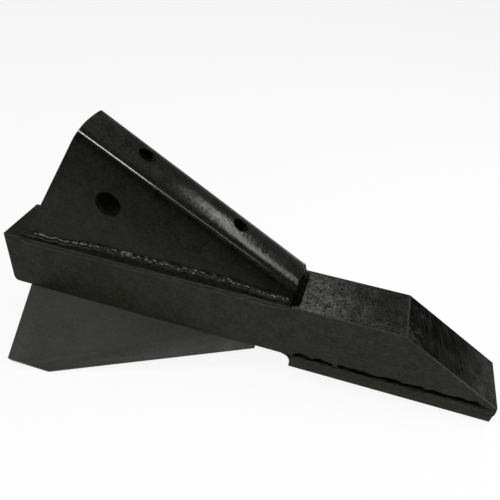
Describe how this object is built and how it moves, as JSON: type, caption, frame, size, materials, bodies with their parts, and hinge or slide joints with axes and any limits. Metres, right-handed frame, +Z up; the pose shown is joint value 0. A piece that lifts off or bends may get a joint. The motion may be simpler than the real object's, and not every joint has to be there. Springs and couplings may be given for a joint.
{
  "type": "ripper shank tooth",
  "caption": "Welded ripper point: square bar with a bevelled nose, folded shank saddle with bolt holes, drooping side wings and a wear pad.",
  "frame": {"origin": "on the ground, under the middle of the part's overall length and width", "axes": "+X along the bar towards the digging nose, +Y to the left of the bar, +Z up as the part stands on its wing tips and nose"},
  "size_m": [0.415, 0.1758, 0.1903],
  "materials": {
    "black_paint": "semi-gloss black enamel over rolled steel",
    "weld_paint": "glossy black enamel over rippled weld beads"
  },
  "bodies": {
    "root": {"point_bar": "black_paint", "shank_saddle": "black_paint", "wear_pad": "black_paint", "wing_left": "black_paint", "wing_right": "black_paint", "saddle_weld_left": "weld_paint", "saddle_weld_right": "weld_paint", "saddle_weld_front": "weld_paint", "pad_weld_left": "weld_paint", "pad_weld_right": "weld_paint", "pad_weld_rear": "weld_paint", "wing_weld_left": "weld_paint", "wing_weld_right": "weld_paint"}
  },
  "joints": []
}
